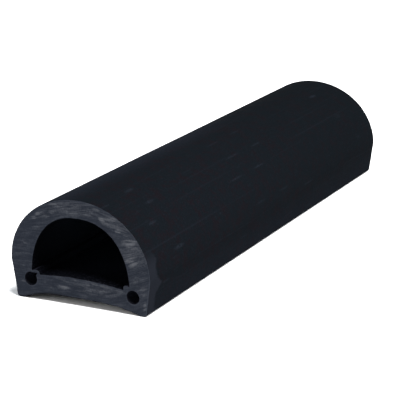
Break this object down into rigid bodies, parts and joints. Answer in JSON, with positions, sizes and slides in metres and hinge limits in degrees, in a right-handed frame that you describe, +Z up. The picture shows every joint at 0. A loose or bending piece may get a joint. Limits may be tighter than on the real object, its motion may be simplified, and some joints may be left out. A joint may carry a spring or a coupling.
{
  "type": "dock bumper strip",
  "caption": "D-shaped hollow rubber bumper strip with an arched underside and a small bore along each lower corner, cut square at both ends.",
  "frame": {"origin": "middle of the strip's length and width, on the plane that its two feet rest on", "axes": "+X along the strip, +Y across it, +Z up from the feet to the top of the arch"},
  "size_m": [0.406, 0.112, 0.077],
  "materials": {
    "black_rubber": "matt black rubber skin with faint scuffs, greyer on the sawn ends"
  },
  "bodies": {
    "root": {"bumper_strip": "black_rubber"}
  },
  "joints": []
}
